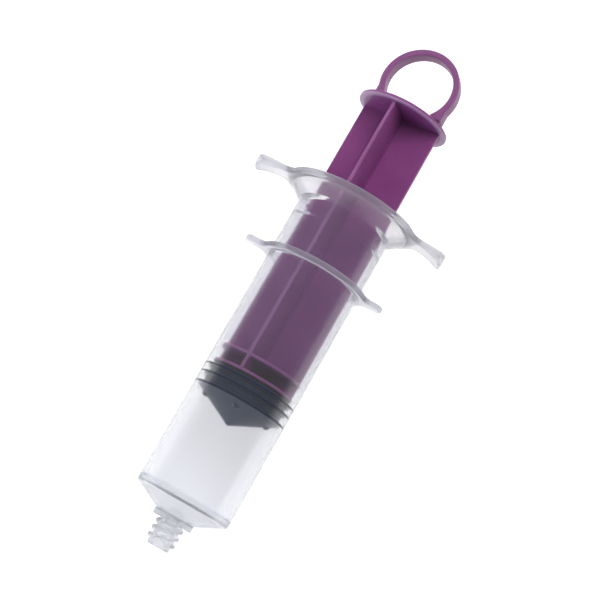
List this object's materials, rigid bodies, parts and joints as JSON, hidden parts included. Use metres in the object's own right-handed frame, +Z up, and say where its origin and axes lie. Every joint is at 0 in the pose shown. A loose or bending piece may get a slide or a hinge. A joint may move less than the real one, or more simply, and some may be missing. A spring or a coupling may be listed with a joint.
{
  "type": "enteral feeding syringe",
  "caption": "Piston syringe with a threaded feeding tip, clear flanged barrel, ribbed rubber seal and a plunger rod with a thumb ring.",
  "frame": {"origin": "centre of the tip's mouth, on the syringe's axis", "axes": "+X along the axis from the tip to the thumb ring, +Z up, finger wings along Y; the syringe lies on its side"},
  "size_m": [0.1798, 0.0666, 0.0446],
  "materials": {
    "clear_barrel": "translucent natural polypropylene, smooth",
    "seal_rubber": "smooth blue-grey rubber, satin",
    "rod_plastic": "purple polypropylene, satin"
  },
  "bodies": {
    "barrel": {"barrel": "clear_barrel"},
    "seal": {"seal": "seal_rubber"},
    "plunger_rod": {"plunger_rod": "rod_plastic"}
  },
  "joints": [
    {"name": "plunger_slide", "type": "slide", "parent": "barrel", "child": "seal", "axis": [1, 0, 0], "range_m": [-0.0317, 0.053]},
    {"name": "rod_turn", "type": "hinge", "parent": "seal", "child": "plunger_rod", "pos_m": [0.055, 0, 0], "axis": [1, 0, 0], "continuous": true}
  ]
}
